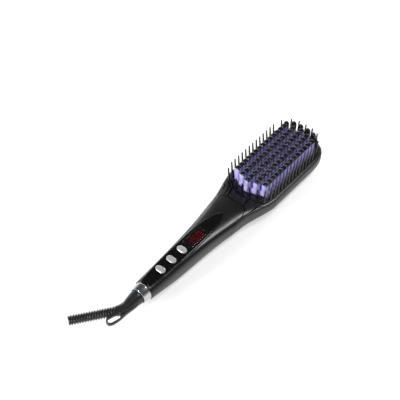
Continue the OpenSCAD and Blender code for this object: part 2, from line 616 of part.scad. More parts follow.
// Everything past the barrel lies in the bend's own plane
module at_tail() translate([bend_x, bend_r, axis_h]) rotate([0, 0, -bend_a])
  translate([0, -bend_r, 0]) children();
module bend(r) translate([bend_x, bend_r, axis_h]) rotate([0, 0, -90 - bend_a])
  rotate_extrude(angle = bend_a, $fn = 64) translate([bend_r, 0]) circle(r);
module swivel_boot() color("#303134") {
  neck = rib_r + 0.2;
  difference() {
    union() {
      turned(collar_x) polygon([[0, boot_in], [journal_r, boot_in], [journal_r, mouth - 0.3],
        [barrel_r - 0.4, mouth - 0.3], [barrel_r, mouth - 0.7], [barrel_r, -3], [barrel_r - 0.5, -6],
        [neck + 0.9, 1.6 - barrel_l], [neck + 0.3, -barrel_l], [0, -barrel_l]]);
      bend(neck);
      at_tail() rotate([0, -90, 0]) {
        cylinder(h = tail_l, r = cord_r + 0.8);
        cylinder(h = 1.2, r = neck - 0.3);
        for (i = [0:rib_n - 1]) translate([0, 0, 2 + i * rib_pitch])
          cylinder(h = rib_pitch * 0.56, r = rib_r);
        translate([0, 0, tail_l - 1.6]) cylinder(h = 1.6, r1 = rib_r - 0.3, r2 = rib_r - 1.1);
      }
      translate([0, 0, axis_h - loop_t / 2]) linear_extrude(loop_t) difference() {
        union() {
          polygon([[collar_x - 4, 0], [collar_x - 4, 0.3 - barrel_r], [bend_x + 2, 0.4 - barrel_r],
            [bend_x - 8, 1.8 - barrel_r], [loop_c1[0], loop_c1[1] - loop_in - loop_band + 0.6],
            [loop_c2[0] - 1, loop_c2[1] - loop_in - loop_band + 0.1], [loop_c2[0] - 4, loop_c2[1] + 2.8],
            [loop_c2[0] + 3, loop_c2[1] + 7], [bend_x - 12, 3], [bend_x, 0]]);
          translate(loop_c2) circle(loop_in + loop_band);
        }
        hull() { translate(loop_c1) circle(loop_in); translate(loop_c2) circle(loop_in); }
      }
    }
    translate([collar_x + 9, 0, axis_h]) rotate([0, -90, 0]) cylinder(h = barrel_l + 9, r = cord_r + 0.2);
    bend(cord_r + 0.1);
    at_tail() rotate([0, -90, 0]) cylinder(h = tail_l + 1, r = cord_r);
  }
}
// Disc that holds the boot in the collar, with the contact tip
module swivel_pin() color("#b08d45") turned(collar_x)
  polygon([[0, boot_in], [disc_r, boot_in], [disc_r, boot_in + disc_t], [contact_r, boot_in + disc_t],
    [contact_r, boot_in + 9.3], [contact_r - 0.8, boot_in + 10.1], [0, boot_in + 10.1]]);
module swivel_socket() color("#d8d3c4") difference() {
  translate([socket_x - socket_l / 2, -5.4, socket_z]) cube([socket_l, 10.8, top_under - 1.1 - socket_z]);
  rod(socket_x - socket_l, socket_x + socket_l, 0, axis_h, contact_r + loose);
}

module case_screws() color("#a9abad") {
  for (p = head_screws) { post(p[0], p[1], screw_seat - 1.8, screw_seat, screw_head_r);
    post(p[0], p[1], screw_seat - 0.2, carrier_top - 4.5, screw_r); }
  for (p = handle_screws) { post(p[0], p[1], screw_seat - 1.8, screw_seat, screw_head_r);
    post(p[0], p[1], screw_seat - 0.2, top_under - 5, screw_r); }
}

handle_shell();
head_frame();
bottom_shell();
pin_ring();
heating_comb();
tooth_caps();
comb_carrier();
ceramic_heaters();
mica_sheet();
heater_clamp();
thermistor();
thermal_fuse();
control_panel();
display_lens();
display_digits();
display_module();
main_board();
power_capacitor();
relay();
tact_switches();
button_power();
button_up();
button_down();
plunger_power();
plunger_up();
plunger_down();
ion_generator();
ion_needles();
heater_leads();
supply_leads();
collar_ring();
swivel_boot();
swivel_pin();
swivel_socket();
case_screws();
board_screws();
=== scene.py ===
# %% [markdown]
# # A heated straightening brush, dressed for its portrait
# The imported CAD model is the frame: every body, joint and hidden piece stays where it is. This lesson
# rebuilds what the eye sees, the shells, comb, pins, buttons, collar and boot, with finer surfaces,
# and gives each piece a finish that starts from its real material.

# %% Load the frame
import math
import bmesh
import bpy
from mathutils import Matrix, Vector


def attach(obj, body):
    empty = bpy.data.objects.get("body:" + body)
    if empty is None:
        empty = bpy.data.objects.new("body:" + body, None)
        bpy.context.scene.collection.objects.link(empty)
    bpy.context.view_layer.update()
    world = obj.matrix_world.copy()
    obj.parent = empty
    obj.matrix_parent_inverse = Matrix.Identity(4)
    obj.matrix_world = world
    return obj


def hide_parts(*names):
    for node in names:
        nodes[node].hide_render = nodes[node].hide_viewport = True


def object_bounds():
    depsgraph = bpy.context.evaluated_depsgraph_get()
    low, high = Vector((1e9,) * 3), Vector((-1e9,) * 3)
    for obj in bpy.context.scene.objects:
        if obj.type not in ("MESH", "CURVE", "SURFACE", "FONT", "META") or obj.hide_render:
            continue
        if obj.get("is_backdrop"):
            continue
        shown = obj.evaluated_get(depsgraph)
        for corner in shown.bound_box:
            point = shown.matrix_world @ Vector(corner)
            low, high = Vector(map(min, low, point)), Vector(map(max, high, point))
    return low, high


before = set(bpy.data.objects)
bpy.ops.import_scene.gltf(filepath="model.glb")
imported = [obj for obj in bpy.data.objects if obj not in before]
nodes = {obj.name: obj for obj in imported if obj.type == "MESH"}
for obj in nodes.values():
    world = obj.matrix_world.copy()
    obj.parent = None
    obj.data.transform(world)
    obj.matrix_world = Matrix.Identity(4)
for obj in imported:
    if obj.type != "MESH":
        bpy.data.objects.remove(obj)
cad_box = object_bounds()

# %% [markdown]
# ## Camera
# The photograph looks down on the brush from beyond its cord end. A camera can be turned by angles,
# or given its three axes directly. The axes are used here, because they were solved from points of
# the object whose places are known, and the lens follows from the same fit: 99 mm on a 36 mm frame.

# %% Camera
MM = 0.001
RIGHT = Vector((0.644145, -0.764904, 0.0))
UP = Vector((0.583536, 0.491411, 0.646532))
AHEAD = Vector((0.494535, 0.416460, -0.762888))
lens = bpy.data.cameras.new("portrait_lens")
lens.lens, lens.sensor_width = 99.0, 36.0
camera = bpy.data.objects.new("portrait_camera", lens)
bpy.context.scene.collection.objects.link(camera)
camera.matrix_world = (Matrix.Translation(Vector((-635.92, -431.50, 864.23)) * MM)
                       @ Matrix((RIGHT, UP, -AHEAD)).transposed().to_4x4())
bpy.context.scene.camera = camera
print("camera at", tuple(round(v, 3) for v in camera.location))

# %% [markdown]
# ## The body's rule
# The moulded body follows a rule: at each station along the brush a rounded cross-section with its
# own width, height and fullness. The mesh could be modelled by hand, but the rule gives the same
# skin as the CAD solid at any fineness, so the glossy plastic reflects without facets.

# %% Stations and sizes in millimetres
X_TIP, X_FRONT, X_NECK, X_END = 52.5, -52.5, -94.5, -205.5
X_TIPC, X_COMB, X_SEAM, TIP_L = 20.0, -40.0, -69.0, 32.5
DECK, HANDLE_TOP, AXIS, SEAM_H = 22.0, 24.4, 15.4, 17.5
WALL, TOP_WALL, GAP = 2.2, 2.8, 0.28
SEAM_DROP, SEAM_BUMP, SIDE_DRAW = 0.72, 4.4, 12


def sm(u):
    v = min(1.0, max(0.0, u))
    return v * v * (3 - 2 * v)


def mix(a, b, u):
    return a + (b - a) * u


def taper_w(x):
    u = (min(x, X_COMB) - X_END) / (X_NECK - X_END)
    if u < 1:
        return mix(21.4, 37.4, 0.56 * u + 0.44 * max(0.0, u) ** 4) / 2
    return 18.7 + 6 * (min(x, X_COMB) - X_NECK) / (X_COMB - X_NECK)


def side_w(x):
    return taper_w(x) + (30 - taper_w(X_COMB)) * sm((x - X_NECK - 14) / (X_COMB - X_NECK - 14))


def half_w(x, o=0.0):
    f = 1.0 if x <= X_TIPC else max(0.0, 1 - min(1.0, (x - X_TIPC) / (TIP_L - o)) ** 3) ** (1 / 3)
    return (side_w(x) - o) * f


def top_z(x):
    return mix(HANDLE_TOP, DECK, sm((x - X_NECK - 10) / 32))


def bottom_z(x):
    rise = X_END + 60.5
    return -1.0 if x > rise else -1 + 7 * ((rise - x) / (rise - X_END)) ** 2


def widest_z(x):
    return mix(AXIS, SEAM_H, sm((x - X_END) / (X_NECK - X_END)))


def seam_z(x):
    """Low along the handle, where it can't be seen, and lifted over the neck to the head's side."""
    u = sm((x - X_NECK + 14) / 22)
    low = SEAM_DROP * (widest_z(x) - bottom_z(x) - WALL)
    return widest_z(x) - low * (1 - u) + SEAM_BUMP * u * (1 - sm((x - X_FRONT + 9) / 18))


def end_f(x, r, o):
    s = (x - (X_TIP - o - r)) / r
    return 1.0 if s <= 0 else max(0.0, 1 - min(1.0, s) ** 2.2) ** (1 / 2.2)


def top_n(x):
    return mix(2.4, 5, sm((x - X_NECK) / (X_COMB - X_NECK)))


def low_n(x):
    return mix(2.2, 3, sm((x - X_END) / 40))


def power(v, e):
    return math.copysign(abs(v) ** e, v)


def skin(x, a, o):
    """A point of the skin at station x and angle a; o is 0 outside and 1 on the wall's inside."""
    s, c = math.sin(a), math.cos(a)
    zw, up = widest_z(x), s >= 0
    n = top_n(x) if up else low_n(x)
    h = ((top_z(x) - o * TOP_WALL - zw) * end_f(x, 5, o * WALL) if up
         else (zw - bottom_z(x) - o * WALL) * end_f(x, 17, o * WALL))
    return Vector((x, -half_w(x, o * WALL) * power(c, 2 / n), max(zw + h * power(s, 2 / n), o * WALL)))


def top_at(x, y):
    """Height of the upper skin above a point of the plan."""
    w, n, zw = half_w(x), top_n(x), widest_z(x)
    u = min(1.0, abs(y) / max(w, 1e-6))
    return zw + (top_z(x) - zw) * end_f(x, 5, 0) * (1 - u ** n) ** (1 / n)


print("skin at the neck", tuple(round(v, 2) for v in skin(X_NECK, math.pi / 2, 0)))

# %% [markdown]
# ## Rings, rims and lofts
# A shell is a closed wall: an outer skin, an inner skin and the rims between them. Each cross-section
# becomes one ring of points, and rings are joined to a loft. The rims are rounded in the rings
# themselves, because a moulded edge always has a small radius, and that radius draws the fine light
# line along every joint.


# %% Ring helpers
def rim_a(x, z, o, lim):
    zw = widest_z(x)
    h = (top_z(x) - o * TOP_WALL - zw) * end_f(x, 5, o * WALL)
    g = (zw - bottom_z(x) - o * WALL) * end_f(x, 17, o * WALL)
    if z >= zw or g < 1:
        return 0.0 if h < 0.01 else math.asin(min(lim if o else 0.96, max(0.0, z - zw) / h) ** (top_n(x) / 2))
    return -math.asin(((zw - z) / g) ** (low_n(x) / 2))


def shift(x, u):
    """The curved seam draws the stations near it back at the sides."""
    return -SIDE_DRAW * min(1.0, u) ** 5 * (1 - sm(abs(x - X_SEAM) / 26))


def drawn(x):
    return x if x <= X_TIPC else X_TIPC + (x - X_TIPC) * (TIP_L - WALL) / TIP_L


def softened(outer, inner, r):
    """Both corners of the outer run, where it turns into the wall, rounded to radius r."""
    out = []
    for end, nxt, across in ((outer[0], outer[1:], inner[-1]), (outer[-1], outer[-2::-1], inner[0])):
        along = (nxt[2] - end)
        along = along.normalized() * min(r, along.length * 0.9) if along.length > 1e-6 else along
        wall = (across - end)
        wall = wall.normalized() * min(r, wall.length * 0.4) if wall.length > 1e-6 else wall
        out.append([end + wall, end + wall * 0.55 + along * 0.06, end + wall * 0.22 + along * 0.22,
                    end + along * 0.55 + wall * 0.06, end + along])
    left = out[1][::-1]
    # Points inside a corner move to its end, so that every ring keeps the same number of points
    keep = [p if (p - outer[0]).length > r and (p - outer[-1]).length > r
            else (out[0][-1] if (p - outer[0]).length <= r else left[0]) for p in outer[1:-1]]
    return out[0] + keep + left + inner


def upper_ring(x0, k, r):
    def row(x, a0, a, o):
        return skin(x + shift(x0, (abs(math.cos(a)) / math.cos(a0)) ** (2 / top_n(x0))), a, o)

    xs, xd = x0 + shift(x0, 1), drawn(x0)
    ao, ai = rim_a(xs, seam_z(xs), 0, 0.96), rim_a(xs, seam_z(xs), 1, 0.75)
    outer = [row(x0, ao, mix(ao, math.pi - ao, j / k), 0) for j in range(k + 1)]
    inner = [row(xd, ai, mix(ai, math.pi - ai, j / k), 1) for j in range(k, -1, -1)]
    return softened(outer, inner, r)


def lower_ring(x0, k, r):
    xs, xd = x0 + shift(x0, 1), drawn(x0) + shift(x0, 1)
    z0 = seam_z(xs) - GAP
    ao, ai = rim_a(xs, z0, 0, 0.96), rim_a(xs, z0, 1, 0.67)
    outer = [skin(xs, mix(math.pi - ao, 2 * math.pi + ao, j / k), 0) for j in range(k + 1)]
    inner = [skin(xd, mix(math.pi - ai, 2 * math.pi + ai, j / k), 1) for j in range(k, -1, -1)]
    return softened(outer, inner, r)


def mesh_object(name, points, faces, scale=MM, smooth=35):
    mesh = bpy.data.meshes.new(name)
    mesh.from_pydata([Vector(p) * scale for p in points], [], faces)
    bm = bmesh.new()
    bm.from_mesh(mesh)
    bmesh.ops.remove_doubles(bm, verts=bm.verts, dist=1e-7)
    bmesh.ops.recalc_face_normals(bm, faces=bm.faces)
    bm.to_mesh(mesh)
    bm.free()
    mesh.shade_smooth()
    mesh.set_sharp_from_angle(angle=math.radians(smooth))
    ob = bpy.data.objects.new(name, mesh)
    bpy.context.scene.collection.objects.link(ob)
    return ob


def walls(m, k):
    return [(i * k + j, i * k + (j + 1) % k, (i + 1) * k + (j + 1) % k, (i + 1) * k + j)
            for i in range(m) for j in range(k)]


def wall_loft(name, rings, tip=None):
    """A closed wall through rings that run over the outside and back along the inside."""
    k, h, m = len(rings[0]), len(rings[0]) // 2, len(rings)
    points = [p for ring in rings for p in ring]
    last = (m - 1) * k
    faces = walls(m - 1, k) + [(j + 1, j, k - 1 - j, k - 2 - j) for j in range(h - 1)]
    if tip:
        ao = len(points)
        points += tip
        faces += [(last + j, last + j + 1, ao) for j in range(h - 1)]
        faces += [(last + j, last + j + 1, ao + 1) for j in range(h, k - 1)]
        faces += [(last + h - 1, last + h, ao + 1, ao), (last + k - 1, last, ao, ao + 1)]
    else:
        faces += [(last + j, last + j + 1, last + k - 2 - j, last + k - 1 - j) for j in range(h - 1)]
    return mesh_object(name, points, faces)


def solid_loft(name, loops, **options):
    """A closed solid through loops of equal length, with flat caps."""
    k, m = len(loops[0]), len(loops)
    faces = walls(m - 1, k) + [tuple(range(k)), tuple(range((m - 1) * k, m * k))]
    return mesh_object(name, [p for loop in loops for p in loop], faces, **options)


def prism(name, plan, low, high):
    return solid_loft(name, [[Vector((x, y, z)) for x, y in plan] for z in (low, high)])


def tube(name, loops, smooth=40):
    """Loops joined in order, and the last one back to the first."""
    k, last = len(loops[0]), (len(loops) - 1) * len(loops[0])
    faces = walls(len(loops) - 1, k)
    faces += [(last + j, last + (j + 1) % k, (j + 1) % k, j) for j in range(k)]
    return mesh_object(name, [p for loop in loops for p in loop], faces, smooth=smooth)


def circle(r, n):
    return [(r * math.cos(2 * math.pi * i / n), r * math.sin(2 * math.pi * i / n)) for i in range(n)]


def made_plain(ob, smooth):
    """Keeps what the modifiers do as a plain mesh, with its sharp edges marked again."""
    mesh = bpy.data.meshes.new_from_object(ob.evaluated_get(bpy.context.evaluated_depsgraph_get()))
    ob.modifiers.clear()
    ob.data = mesh
    mesh.shade_smooth()
    mesh.set_sharp_from_angle(angle=math.radians(smooth))
    return mesh


# %% Stations of the shells
def rim_start(rings, r, back=False):
    """Rounds the outer edge at the first ring, or at the last when back is true."""
    ring = rings[-1] if back else rings[0]
    k, h = len(ring), len(ring) // 2
    inward = [(ring[k - 1 - j] - ring[j]).normalized() if j < h else Vector() for j in range(k)]
    step = Vector((1, 0, 0)) * (-1 if back else 1)
    made = [[p + step * r * a + n * r * b for p, n in zip(ring, inward)]
            for a, b in ((0, 1), (0.06, 0.55), (0.22, 0.22), (0.55, 0.06), (1, 0))]
    for loop in made:
        loop[h:] = ring[h:]
    return rings[:-1] + made[::-1] if back else made + rings[1:]


def spread(a, b, n):
    return [mix(a, b, i / n) for i in range(n + 1)]


TIP_ANGLES = (4, 8, 13, 18, 24, 30, 36, 42, 48, 54, 60, 65, 70, 74, 77.5, 80.5, 83, 85, 86.6, 87.8, 88.7)
tip_run = [X_TIPC + TIP_L * math.sin(math.radians(t)) ** (2 / 3) for t in TIP_ANGLES]
handle_run = spread(X_END, X_NECK, 90) + spread(X_NECK, X_SEAM - GAP / 2, 60)[1:]
head_run = spread(X_SEAM + GAP / 2, X_COMB, 60) + spread(X_COMB, X_TIPC, 40)[1:] + tip_run
print("stations", len(handle_run), len(head_run))

# %% [markdown]
# ## Cutters
# Openings in a moulded shell are cut with solids, as a tool maker lets inserts into a mould. A cutter
# here flares out in its last half millimetre, so that each opening gets a rounded lip which follows
# the curved skin. The Manifold solver is used because it stays exact on meshes as dense as these.


# %% Cutters
def lip(outline, r, low, clear=0.0, top=top_at, above=6.0):
    """Loops of a cutter: straight up to the lip, then a quarter round into the skin."""
    base = outline(clear)
    loops = [[Vector((x, y, low)) for x, y in base]]
    for t in (0, 22.5, 45, 67.5, 88):
        c, s = 1 - math.cos(math.radians(t)), 1 - math.sin(math.radians(t))
        loops.append([Vector((x, y, top(bx, by) - r * s))
                      for (x, y), (bx, by) in zip(outline(clear + r * c), base)])
    loops.append([Vector((p.x, p.y, p.z + above)) for p in loops[-1]])
    return loops


def cut(ob, *cutters, smooth=35):
    for cutter in cutters:
        mod = ob.modifiers.new("cut", "BOOLEAN")
        mod.operation, mod.solver, mod.object = "DIFFERENCE", "MANIFOLD", cutter
    mesh = made_plain(ob, smooth)
    mesh.materials.clear()
    for cutter in cutters:
        bpy.data.objects.remove(cutter)
    print(ob.name, "has", len(mesh.polygons), "faces")
    return ob


def rounded(points, n=1):
    """Corners of a closed outline cut off n times, the way a file rounds them."""
    for _ in range(n):
        points = [(mix(p[0], q[0], t), mix(p[1], q[1], t))
                  for p, q in zip(points, points[1:] + points[:1]) for t in (0.25, 0.75)]
    return points


def oval(cx, cy, l, w, o=0.0, turn=0.0, n=14):
    """A racetrack with length l along the brush and width w across it, grown by o."""
    r, s = min(l, w) / 2, abs(w - l) / 2
    pts = []
    for i in range(2 * n + 2):
        a = math.pi * (i if i <= n else i - 1) / n
        side = s if i <= n else -s
        x, y = (r + o) * math.cos(a), (r + o) * math.sin(a) + side
        if l > w:
            x, y = y, -x
        pts.append((cx + x * math.cos(turn) - y * math.sin(turn),
                    cy + x * math.sin(turn) + y * math.cos(turn)))
    return pts


def soft_box(cx, cy, l, w, r, o=0.0, n=6):
    pts = []
    for q, (sx, sy) in enumerate(((1, 1), (-1, 1), (-1, -1), (1, -1))):
        for i in range(n + 1):
            a = math.pi / 2 * (q + i / n)
            pts.append((cx + sx * (l / 2 - r) + (r + o) * math.cos(a),
                        cy + sy * (w / 2 - r) + (r + o) * math.sin(a)))
    return pts


# %% [markdown]
# ## Outlines shared by neighbours
# The pin ring sits in the deck's opening, and the panel in the handle's seat. Both pairs use one
# outline with a different inset, so the joint between them stays even all the way round.


# %% Outlines
RING_FRONT = X_COMB - 19.5
PITCH, COLUMN, TOOTH_D, TOOTH_W, REACH = 5.9, 8.8, 5.3, 6.4, 4.8
BOW = 0.0129  # how the front of the ring and its row of pins bow, per millimetre across
BACK = TOOTH_D - REACH
COMB_MID = X_COMB + (13 * PITCH + BACK - REACH) / 2


def ring_plan(o):
    """Outline of the pin ring, drawn in by o from the head's own outline."""
    y0 = side_w(RING_FRONT + 8) - o - 2.2
    front = [(RING_FRONT - 3.1 + o + BOW * (y0 * k / 10) ** 2, y0 * k / 10) for k in range(-10, 11)]
    xs = [x for x in spread(-59, X_TIPC, 34) if x > front[0][0] + 2]
    xs += [X_TIPC + (x - X_TIPC) * (TIP_L - o) / TIP_L for x in tip_run]
    side = [(x, half_w(x, o)) for x in xs]
    return rounded(front + side + [(X_TIP - o, 0.0)] + [(x, -y) for x, y in side[::-1]], 2)


def panel_plan(o):
    """The inlay: nearly straight sides that narrow to the cord's end, and a long rounded tip."""
    hw, mid, tip, end = 9 + o, X_END + 68.5, X_NECK + 4 + o, X_END + 2.4
    xs = spread(end - o, mid, 30)
    xs += [mid + (tip - mid) * math.sin(math.radians(t)) ** 0.9 for t in range(4, 90, 3)]

    def y(x):
        if x > mid:
            return hw * max(0.0, 1 - ((x - mid) / (tip - mid)) ** 2.2) ** 0.5
        return hw - 3.4 * ((mid - x) / (mid - end)) ** 2.5

    side = [(x, y(x)) for x in xs]
    x0, y0 = side[0]
    corner = [(x0, y0 - 1.3), (x0 + 0.4, y0 - 0.35), (x0 + 1.3, y0)]
    side = corner + [p for p in side if p[0] > corner[-1][0] + 0.4]
    return side + [(tip, 0.0)] + [(x, -y) for x, y in side[::-1]]


def base_plan(o, far):
    """The comb's base, whose front steps out beside the teeth of each column."""
    def half(o, corner):
        front, p, edge = X_COMB - REACH - 0.15 - o, PITCH / 2, TOOTH_W / 2 + 0.15
        s, y = edge + 0.8 * o, 2 * COLUMN + edge + o
        return [(front - 2 * p, s), (front - p, s + 0.3), (front - p, COLUMN + s),
                (front, COLUMN + s + 0.3), (front, y - corner), (front + 1.2 * corner, y)]

    a = half(o, 1) + [(2 * COMB_MID - x, y) for x, y in half(far, 2.4)[::-1]]
    return a + [(x, -y) for x, y in a[::-1]]


print("ring outline", len(ring_plan(2.95)), "points, panel outline", len(panel_plan(0)))

# %% [markdown]
# ## Upper and lower halves
# The handle's half is one glossy moulding from the collar to the curved neck seam, the frame
# carries on from there round the comb, and the lower half is a tray under both. They are lofted from
# the rule above. Their rims get radii of a few tenths of a millimetre, larger along the neck seam,
# where the light line is widest.

# %% Shells
BUTTON_X = [X_END + 23.8 + 15.6 * i for i in range(3)]
KEY_L, KEY_W = 6.6, 10.8
LENS_X = X_END + 74.5
PANEL_TOP = HANDLE_TOP + 0.1
HANDLE_RIM, DECK_RIM = 1.4, 1.5
SLOTS = [(-67.7, 13.6, -57.2, 17.4, 1.1), (-67.6, 10.2, -57.6, 13.8, 1.1), (-68.1, -10.8, -60.0, -8.2, 1.2)]
handle_rings = rim_start([upper_ring(x, 72, 0.35) for x in handle_run], 0.25)
handle = wall_loft("handle_skin", rim_start(handle_rings, HANDLE_RIM, back=True))
seat = solid_loft("seat_cut", lip(lambda o: panel_plan(0.22 + o), 0.45, 22.9))
window = prism("window_cut", soft_box(LENS_X, 0, 22, 10.2, 1), 15, 28)
holes = [prism("hole_cut", oval(bx, 0, KEY_L + 1, KEY_W + 1), 15, 28) for bx in BUTTON_X]
cut(handle, seat, window, *holes)

apex = [Vector((X_TIP, 0, widest_z(X_TIP))), Vector((X_TIP - WALL, 0, widest_z(X_TIP)))]
deck = wall_loft("head_skin", rim_start([upper_ring(x, 96, 0.3) for x in head_run], DECK_RIM), apex)
mouth = solid_loft("mouth_cut", lip(lambda o: ring_plan(2.95 - o), 0.45, 15))


def slot_plan(x0, y0, x1, y1, w):
    length, turn = math.hypot(x1 - x0, y1 - y0), math.atan2(y1 - y0, x1 - x0)
    return lambda o: oval((x0 + x1) / 2, (y0 + y1) / 2, length + w, w, o, turn)


cut(deck, mouth, *[solid_loft("slot_cut", lip(slot_plan(*s), 0.5, 14)) for s in SLOTS])

tray_rings = [lower_ring(x, 96, 0.3) for x in handle_run[:-1] + head_run[1:]]
tray = wall_loft("lower_skin", rim_start(tray_rings, 0.25), [p - Vector((0, 0, GAP)) for p in apex])
SCREWS = [(x, y) for x in (X_COMB + 8, X_TIP - 26) for y in (-15.5, 15.5)]
SCREWS += [(BUTTON_X[1] + 7.8, 0), (X_NECK + 12.5, 0)]
wells = []
for sx, sy in SCREWS:
    foot = 0 if sx > X_END + 60 else bottom_z(sx)
    rings = [(3.6, foot - 1), (3.6, foot), (3.3, foot + 0.1), (3.12, foot + 0.32), (3.05, foot + 0.6),
             (3.05, 5)]
    wells.append(solid_loft("well_cut", [[Vector((sx + x, sy + y, z)) for x, y in circle(r, 48)]
                                         for r, z in rings]))
cut(tray, *wells)
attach(handle, "brush"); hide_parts("handle_shell")
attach(deck, "brush"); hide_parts("head_frame")
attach(tray, "brush"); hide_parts("bottom_shell")

# %% [markdown]
# ## Control panel, window and numerals
# The long inlay is a flat glossy plate with a small radius round its edge, three oval holes and a
# window. It is lofted from its own outline: wall, quarter round, flat top. The window is a smoked
# plate of its own, and the numerals under it are the usual seven bars with mitred ends.


# %% Panel, window and numerals
def plate(name, outline, low, high, r):
    loops = [[Vector((x, y, low)) for x, y in outline(0)]]
    for t in (0, 22.5, 45, 67.5, 90):
        c, s = 1 - math.cos(math.radians(t)), 1 - math.sin(math.radians(t))
        loops.append([Vector((x, y, high - r * s)) for x, y in outline(-r * c)])
    return solid_loft(name, loops)


def flat_top(z):
    return lambda x, y: z


def panel_cut(name, outline, r):
    return solid_loft(name, lip(outline, r, 22, top=flat_top(PANEL_TOP)))


PANEL_LOW = PANEL_TOP - 1.5
panel = plate("panel_plate", panel_plan, PANEL_LOW, PANEL_TOP, 0.6)
cut(panel, panel_cut("lens_cut", lambda o: soft_box(LENS_X, 0, 25.2, 11.8, 1.2, o), 0.15),
    *[panel_cut("button_cut", lambda o, bx=bx: oval(bx, 0, KEY_L + 0.6, KEY_W + 0.6, o), 0.3)
      for bx in BUTTON_X])
window_plate = plate("window_plate", lambda o: soft_box(LENS_X, 0, 25, 11.6, 1.1, o),
                     PANEL_LOW, PANEL_TOP - 0.05, 0.15)


def numeral_bars(lit):
    w, h, b = 2.1, 3.5, 0.42
    ends = {"a": ((-w, h), (w, h)), "b": ((w, h), (w, 0)), "c": ((w, 0), (w, -h)), "d": ((-w, -h), (w, -h)),
            "e": ((-w, -h), (-w, 0)), "f": ((-w, 0), (-w, h)), "g": ((-w, 0), (w, 0))}
    for key in lit:
        (x0, y0), (x1, y1) = ends[key]
        d = Vector((x1 - x0, y1 - y0)).normalized()
        n = Vector((-d.y, d.x)) * b
        p, q = Vector((x0, y0)) + d * 0.12, Vector((x1, y1)) - d * 0.12
        yield [p, p + d * b + n, q - d * b + n, q, q - d * b - n, p + d * b - n]


points, faces = [], []
for i, lit in enumerate(("bc", "acdfg", "abcdef")):
    for bar in numeral_bars(lit):
        start = len(points)
        for z in (21.4, 21.7):
            points += [(LENS_X + (i - 1) * 7 + p.x, p.y, z) for p in bar]
        faces += [tuple(start + j for j in range(6)), tuple(start + 6 + j for j in range(6))]
        faces += [(start + j, start + (j + 1) % 6, start + 6 + (j + 1) % 6, start + 6 + j) for j in range(6)]
numerals = mesh_object("numerals", points, faces)
for ob, cad, slot in ((panel, "control_panel", "panel_acrylic"), (window_plate, "display_lens", "smoked_lens"),
                      (numerals, "display_digits", "red_led")):
    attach(ob, "brush"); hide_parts(cad)

# %% [markdown]
# ## Buttons
# Each key is an oval cap, crowned along the brush, with a soft edge. Under the handle's top it has
# a flange and a stem, which the frame already carries and which can't be seen, so only those parts
# of the solid that show are drawn finer, and the rest of the form is kept in the same mesh.


# %% Buttons
def key_cap(name, bx):
    loops = []
    for o, z in ((1.1, 20.4), (1.1, 21.5)):
        loops.append([Vector((x, y, z)) for x, y in oval(bx, 0, KEY_L, KEY_W, o)])
    rim = 0.75
    loops.append([Vector((x, y, 21.5)) for x, y in oval(bx, 0, KEY_L, KEY_W)])

    def crown(x):
        return 25.5 - (14 - math.sqrt(196 - (x - bx) ** 2))

    for t in (0, 18, 36, 54, 72, 90):
        c, s = 1 - math.cos(math.radians(t)), 1 - math.sin(math.radians(t))
        loops.append([Vector((x, y, crown(x) - rim * s)) for x, y in oval(bx, 0, KEY_L, KEY_W, -rim * c)])
    for o in (-1.2, -1.7, -2.2, -2.7, -3.1):
        loops.append([Vector((x, y, crown(x))) for x, y in oval(bx, 0, KEY_L, KEY_W, o)])
    ob = solid_loft(name, loops, smooth=50)
    stem = [[Vector((bx + x, y, z)) for x, y in circle(r, 32)]
            for r, z in ((1.35, 17.5), (1.5, 17.65), (1.5, 20.41))]
    return ob, stem


for key, body, bx in (("button_power", "power_key", BUTTON_X[0]), ("button_down", "down_key", BUTTON_X[1]),
                      ("button_up", "up_key", BUTTON_X[2])):
    cap, stem = key_cap(key + "_cap", bx)
    post = solid_loft("stem", stem)
    bm = bmesh.new()
    bm.from_mesh(cap.data)
    bm.from_mesh(post.data)
    bm.to_mesh(cap.data)
    bm.free()
    bpy.data.objects.remove(post)
    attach(cap, body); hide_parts(key)
print("three keys at", [round(b, 1) for b in BUTTON_X])

# %% [markdown]
# ## One tree for pieces in rows
# Guard pins, metal teeth, their caps and the solid teeth at the tip all repeat. Geometry Nodes place
# them: the tree takes the seats as loose points with a turn stored on each, stands one piece on each
# seat, leans it outwards, then makes the copies real and gives them their material. Copying in Python
# would work too, but then the lean or a size could not be changed in one place.


# %% Node helper and the tree
def add(tree, kind, settings=(), **links):
    """Adds a node: settings are its properties, links are inputs by name or by number as i0, i1."""
    node = tree.nodes.new(kind)
    for key, value in dict(settings).items():
        setattr(node, key, value)
    for key, value in links.items():
        by_number = key[0] == "i" and key[1:].isdigit()
        socket = node.inputs[int(key[1:]) if by_number else key.replace("_", " ")]
        if isinstance(value, bpy.types.NodeSocket):
            tree.links.new(value, socket)
        else:
            socket.default_value = value
    return node


def new_tree(name, inputs):
    tree = bpy.data.node_groups.new(name, "GeometryNodeTree")
    tree.interface.new_socket("Geometry", in_out="OUTPUT", socket_type="NodeSocketGeometry")
    ids = {}
    for title, kind in inputs:
        ids[title] = tree.interface.new_socket(title, in_out="INPUT", socket_type=kind).identifier
    return tree, tree.nodes.new("NodeGroupInput"), tree.nodes.new("NodeGroupOutput"), ids


